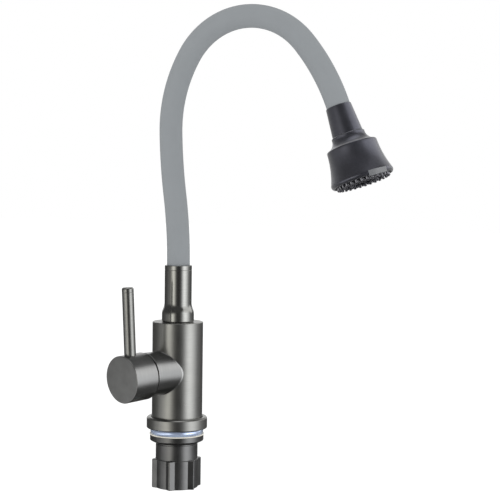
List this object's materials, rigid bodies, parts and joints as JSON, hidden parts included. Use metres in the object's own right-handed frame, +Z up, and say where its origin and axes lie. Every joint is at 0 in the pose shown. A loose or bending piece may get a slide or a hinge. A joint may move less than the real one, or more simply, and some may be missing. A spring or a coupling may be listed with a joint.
{
  "type": "flexible spout kitchen mixer",
  "caption": "Single-lever kitchen mixer with a flexible grey spout that stays where it is bent, a conical spray head and a clamp nut under the worktop.",
  "frame": {"origin": "centre of the flange's underside, where it stands on the worktop", "axes": "+Z up along the column; the spout bends in the XZ plane and reaches towards +X; the handle points mostly to -Y"},
  "size_m": [0.24, 0.0951, 0.4266],
  "materials": {
    "satin_gunmetal": "satin",
    "glossy_gunmetal": "semi-gloss",
    "dark_nylon": "satin",
    "clear_seal": "translucent",
    "pale_fibre": "matte",
    "brass": "machined",
    "steel": "satin",
    "cartridge_plastic": "moulded",
    "white_ceramic": "lapped",
    "black_rubber": "matte",
    "grey_silicone": "matte",
    "water_tube": "smooth",
    "head_plastic": "soft-touch",
    "face_plastic": "satin",
    "nozzle_rubber": "matte",
    "tab_plastic": "gloss"
  },
  "bodies": {
    "root": {"mixer_body": "satin_gunmetal", "retaining_screw": "steel", "base_flange": "satin_gunmetal", "base_gasket": "clear_seal", "threaded_shank": "brass", "cartridge_case": "cartridge_plastic", "cartridge_seals": "black_rubber", "ceramic_disc_fixed": "white_ceramic", "cartridge_nut": "brass", "bonnet_ring": "glossy_gunmetal"},
    "clamp": {"clamp_washer": "dark_nylon", "clamp_seal": "pale_fibre"},
    "nut": {"wing_nut": "dark_nylon"},
    "cartridge_rotor": {"disc_carrier": "cartridge_plastic", "carrier_pin": "steel"},
    "slider": {"ceramic_disc_moving": "white_ceramic"},
    "handle": {"handle_cap": "satin_gunmetal", "lever_pin": "glossy_gunmetal", "handle_screw": "steel", "control_stem": "brass"},
    "spout_foot": {"neck_sleeve": "glossy_gunmetal", "spout_stem": "brass", "spout_o_rings": "black_rubber", "glide_ring": "black_rubber", "hose_sleeve_span_1": "grey_silicone", "hose_sleeve_bend_1": "grey_silicone", "hose_core_span_1": "steel", "hose_core_bend_1": "steel", "hose_tube_span_1": "water_tube", "hose_tube_bend_1": "water_tube"},
    "hose_2": {"hose_sleeve_span_2": "grey_silicone", "hose_sleeve_bend_2": "grey_silicone", "hose_core_span_2": "steel", "hose_core_bend_2": "steel", "hose_tube_span_2": "water_tube", "hose_tube_bend_2": "water_tube"},
    "hose_3": {"hose_sleeve_span_3": "grey_silicone", "hose_sleeve_bend_3": "grey_silicone", "hose_core_span_3": "steel", "hose_core_bend_3": "steel", "hose_tube_span_3": "water_tube", "hose_tube_bend_3": "water_tube"},
    "hose_4": {"hose_sleeve_span_4": "grey_silicone", "hose_sleeve_bend_4": "grey_silicone", "hose_core_span_4": "steel", "hose_core_bend_4": "steel", "hose_tube_span_4": "water_tube", "hose_tube_bend_4": "water_tube"},
    "hose_5": {"hose_end_fitting": "brass", "head_clip": "steel", "hose_sleeve_span_5": "grey_silicone", "hose_core_span_5": "steel", "hose_tube_span_5": "water_tube"},
    "head": {"head_shell": "head_plastic", "head_sleeve": "head_plastic", "head_o_ring": "black_rubber", "stream_insert": "face_plastic"},
    "face": {"nozzle_plate": "face_plastic", "nozzle_mat": "nozzle_rubber", "selector_tab": "tab_plastic"}
  },
  "joints": [
    {"name": "spout_swivel", "type": "hinge", "parent": "root", "child": "spout_foot", "pos_m": [0, 0, 0.095], "axis": [0, 0, 1], "continuous": true},
    {"name": "hose_bend_low", "type": "hinge", "parent": "spout_foot", "child": "hose_2", "pos_m": [-0.00184, 0, 0.18744], "axis": [0, 1, 0], "range_deg": [-20, 20], "deforming": ["hose_sleeve_bend_1", "hose_core_bend_1", "hose_tube_bend_1"]},
    {"name": "hose_bend_side", "type": "hinge", "parent": "hose_2", "child": "hose_3", "pos_m": [-0.00775, 0, 0.24211], "axis": [1, 0, 0], "range_deg": [-20, 20], "deforming": ["hose_sleeve_bend_2", "hose_core_bend_2", "hose_tube_bend_2"]},
    {"name": "hose_bend_mid", "type": "hinge", "parent": "hose_3", "child": "hose_4", "pos_m": [-0.00036, 0, 0.31105], "axis": [0, 1, 0], "range_deg": [-20, 20], "deforming": ["hose_sleeve_bend_3", "hose_core_bend_3", "hose_tube_bend_3"]},
    {"name": "hose_bend_top", "type": "hinge", "parent": "hose_4", "child": "hose_5", "pos_m": [0.07284, 0, 0.36299], "axis": [0, 1, 0], "range_deg": [-30, 15], "deforming": ["hose_sleeve_bend_4", "hose_core_bend_4", "hose_tube_bend_4"]},
    {"name": "head_swivel", "type": "hinge", "parent": "hose_5", "child": "head", "pos_m": [0.15081, 0, 0.28503], "axis": [0.351, 0, -0.9364], "continuous": true},
    {"name": "face_turn", "type": "hinge", "parent": "head", "child": "face", "pos_m": [0.15081, 0, 0.28503], "axis": [0.351, 0, -0.9364], "range_deg": [0, 45]},
    {"name": "lever_mix", "type": "hinge", "parent": "root", "child": "cartridge_rotor", "pos_m": [0, 0, 0.0506], "axis": [-0.3338, -0.9426, 0], "range_deg": [-50, 50]},
    {"name": "lever_flow", "type": "hinge", "parent": "cartridge_rotor", "child": "handle", "pos_m": [-0.00935, -0.02639, 0.0506], "axis": [0.9426, -0.3338, 0], "range_deg": [0, 25]},
    {"name": "disc_slide", "type": "slide", "parent": "cartridge_rotor", "child": "slider", "axis": [0, 0, 1], "range_m": [0, 0.0047]},
    {"name": "clamp_slide", "type": "slide", "parent": "root", "child": "clamp", "axis": [0, 0, -1], "range_m": [0, 0.03]},
    {"name": "nut_turn", "type": "hinge", "parent": "clamp", "child": "nut", "pos_m": [0, 0, -0.033], "axis": [0, 0, -1], "range_deg": [0, 7200]}
  ],
  "couplings": [
    {"joint": "disc_slide", "follows": "lever_flow", "m_per_rad": 0.0105},
    {"joint": "nut_turn", "follows": "clamp_slide", "rad_per_m": 4188.8}
  ]
}
